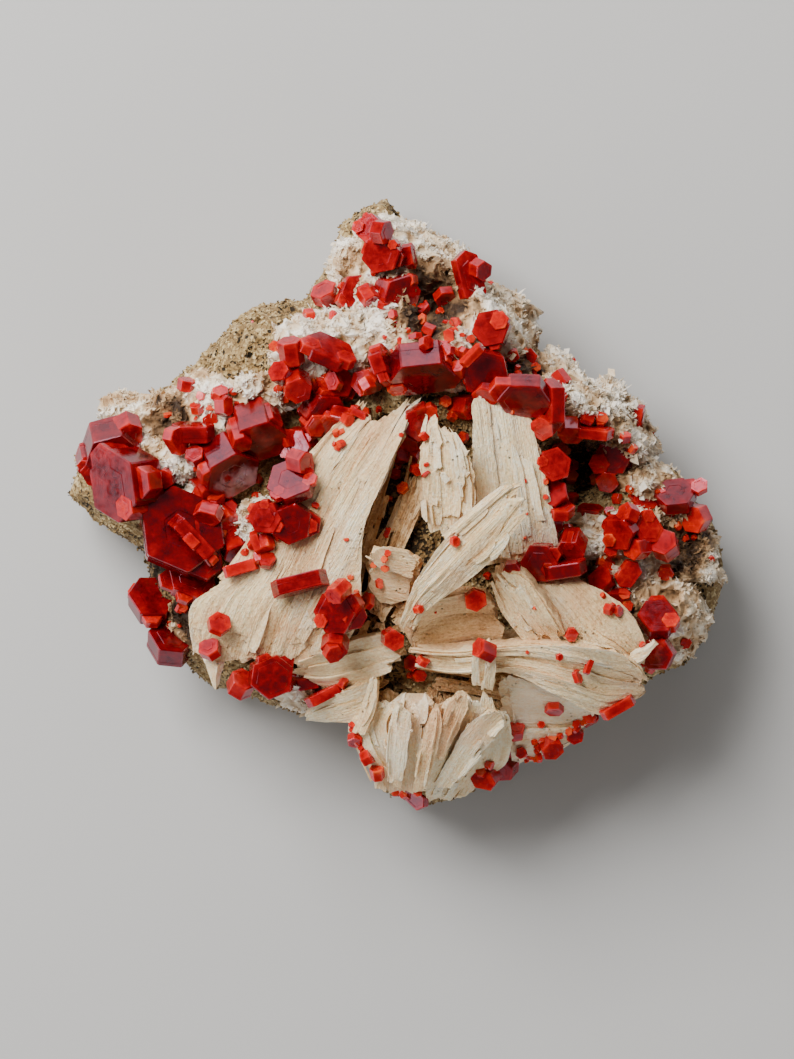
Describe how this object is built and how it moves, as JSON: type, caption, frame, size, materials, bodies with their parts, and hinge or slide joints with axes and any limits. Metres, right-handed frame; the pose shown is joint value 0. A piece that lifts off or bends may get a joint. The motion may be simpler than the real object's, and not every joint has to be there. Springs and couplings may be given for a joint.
{
  "type": "vanadinite crystals on barite and matrix",
  "caption": "Mineral hand specimen lying on its flat sawn back: six-sided red tablets and short prisms over fans of cream barite blades, white crust and a granular rock matrix.",
  "frame": {"origin": "middle of the footprint, on the flat sawn back that the specimen lies on", "axes": "+Z from the sawn back out through the crystals, +Y towards the apex of the matrix, +X across to the right as seen from the front"},
  "size_m": [0.0698, 0.0648, 0.0308],
  "materials": {
    "sandstone": "rough, granular, with dark specks",
    "barite_crust": "matt, snowy and ragged",
    "barite_blade": "satin, striated along each blade",
    "vanadinite": "glossy, translucent at thin edges"
  },
  "bodies": {
    "root": {"left_rim_stack": "vanadinite", "left_edge_tablet": "vanadinite", "great_tablet": "vanadinite", "left_prisms": "vanadinite", "left_bar": "vanadinite", "fan_edge_prism": "vanadinite", "great_tablet_foot": "vanadinite", "left_lower_tablets": "vanadinite", "bottom_left_tablets": "vanadinite", "dark_bar": "vanadinite", "long_bar": "vanadinite", "centre_left_group": "vanadinite", "bottom_rim_prism": "vanadinite", "upper_left_column": "vanadinite", "curved_tablet": "vanadinite", "notch_tablet": "vanadinite", "amber_hex": "vanadinite", "apex_group": "vanadinite", "apex_column": "vanadinite", "ridge_tablet": "vanadinite", "brown_hex": "vanadinite", "ringed_hex": "vanadinite", "crown_tablet": "vanadinite", "crown_left_group": "vanadinite", "crown_low_hex": "vanadinite", "crown_right_group": "vanadinite", "bright_tablet": "vanadinite", "right_bars": "vanadinite", "fan_edge_column": "vanadinite", "right_dark_hex": "vanadinite", "right_rim_pair": "vanadinite", "right_cluster": "vanadinite", "right_fan_group": "vanadinite", "fan_shoulder": "vanadinite", "crust_tablet": "vanadinite", "pink_hex": "vanadinite", "red_pair": "vanadinite", "between_fans_hex": "vanadinite", "blade_crossing": "barite_blade", "blade_centre_pointed": "barite_blade", "blade_frosted_column": "barite_blade", "blade_right_broad": "barite_blade", "fan_left_curtain": "barite_blade", "blade_right_striated": "barite_blade", "fan_right_smooth": "barite_blade", "blade_centre_smooth": "barite_blade", "fan_lower_right": "barite_blade", "blade_left_small": "barite_blade", "blade_inner_shadow": "barite_blade", "fan_lower_left": "barite_blade", "blade_pointed_left": "barite_blade", "fan_bottom_left": "barite_blade", "fan_bottom_right": "barite_blade", "fan_white_corner": "barite_blade", "matrix_rock": "sandstone", "crust_apex_ridge": "barite_crust", "crust_right_ridge": "barite_crust", "crust_right_lobe": "barite_crust", "crust_upper_left": "barite_crust", "crust_left": "barite_crust"}
  },
  "joints": []
}
